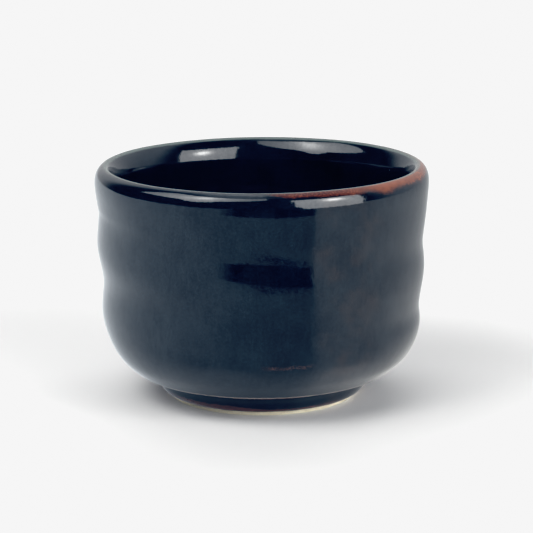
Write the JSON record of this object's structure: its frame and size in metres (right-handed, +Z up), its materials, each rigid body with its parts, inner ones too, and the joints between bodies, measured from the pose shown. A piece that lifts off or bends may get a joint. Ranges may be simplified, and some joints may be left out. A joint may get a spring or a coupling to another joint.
{
  "type": "matcha tea bowl",
  "caption": "Deep stoneware tea bowl for whisking powdered tea, with tilted finger grooves, dark glaze, a rust lip and a bare foot ring.",
  "frame": {"origin": "centre of the contact ring under the foot, on the table", "axes": "+Z up through the centre of the mouth; -Y is the front; the finger grooves run down towards +X and a little towards the front"},
  "size_m": [0.116, 0.116, 0.0813],
  "materials": {
    "stoneware": "bare fired stoneware, fine grained and dry",
    "dark_glaze": "glossy blue-black iron glaze",
    "rust_glaze": "glossy rust-brown glaze broken thin over the lip"
  },
  "bodies": {
    "root": {"clay_body": "stoneware", "foot_ring": "stoneware", "outer_glaze": "dark_glaze", "inner_glaze": "dark_glaze", "foot_glaze": "dark_glaze", "underfoot_glaze": "dark_glaze", "rim_glaze": "rust_glaze"}
  },
  "joints": []
}
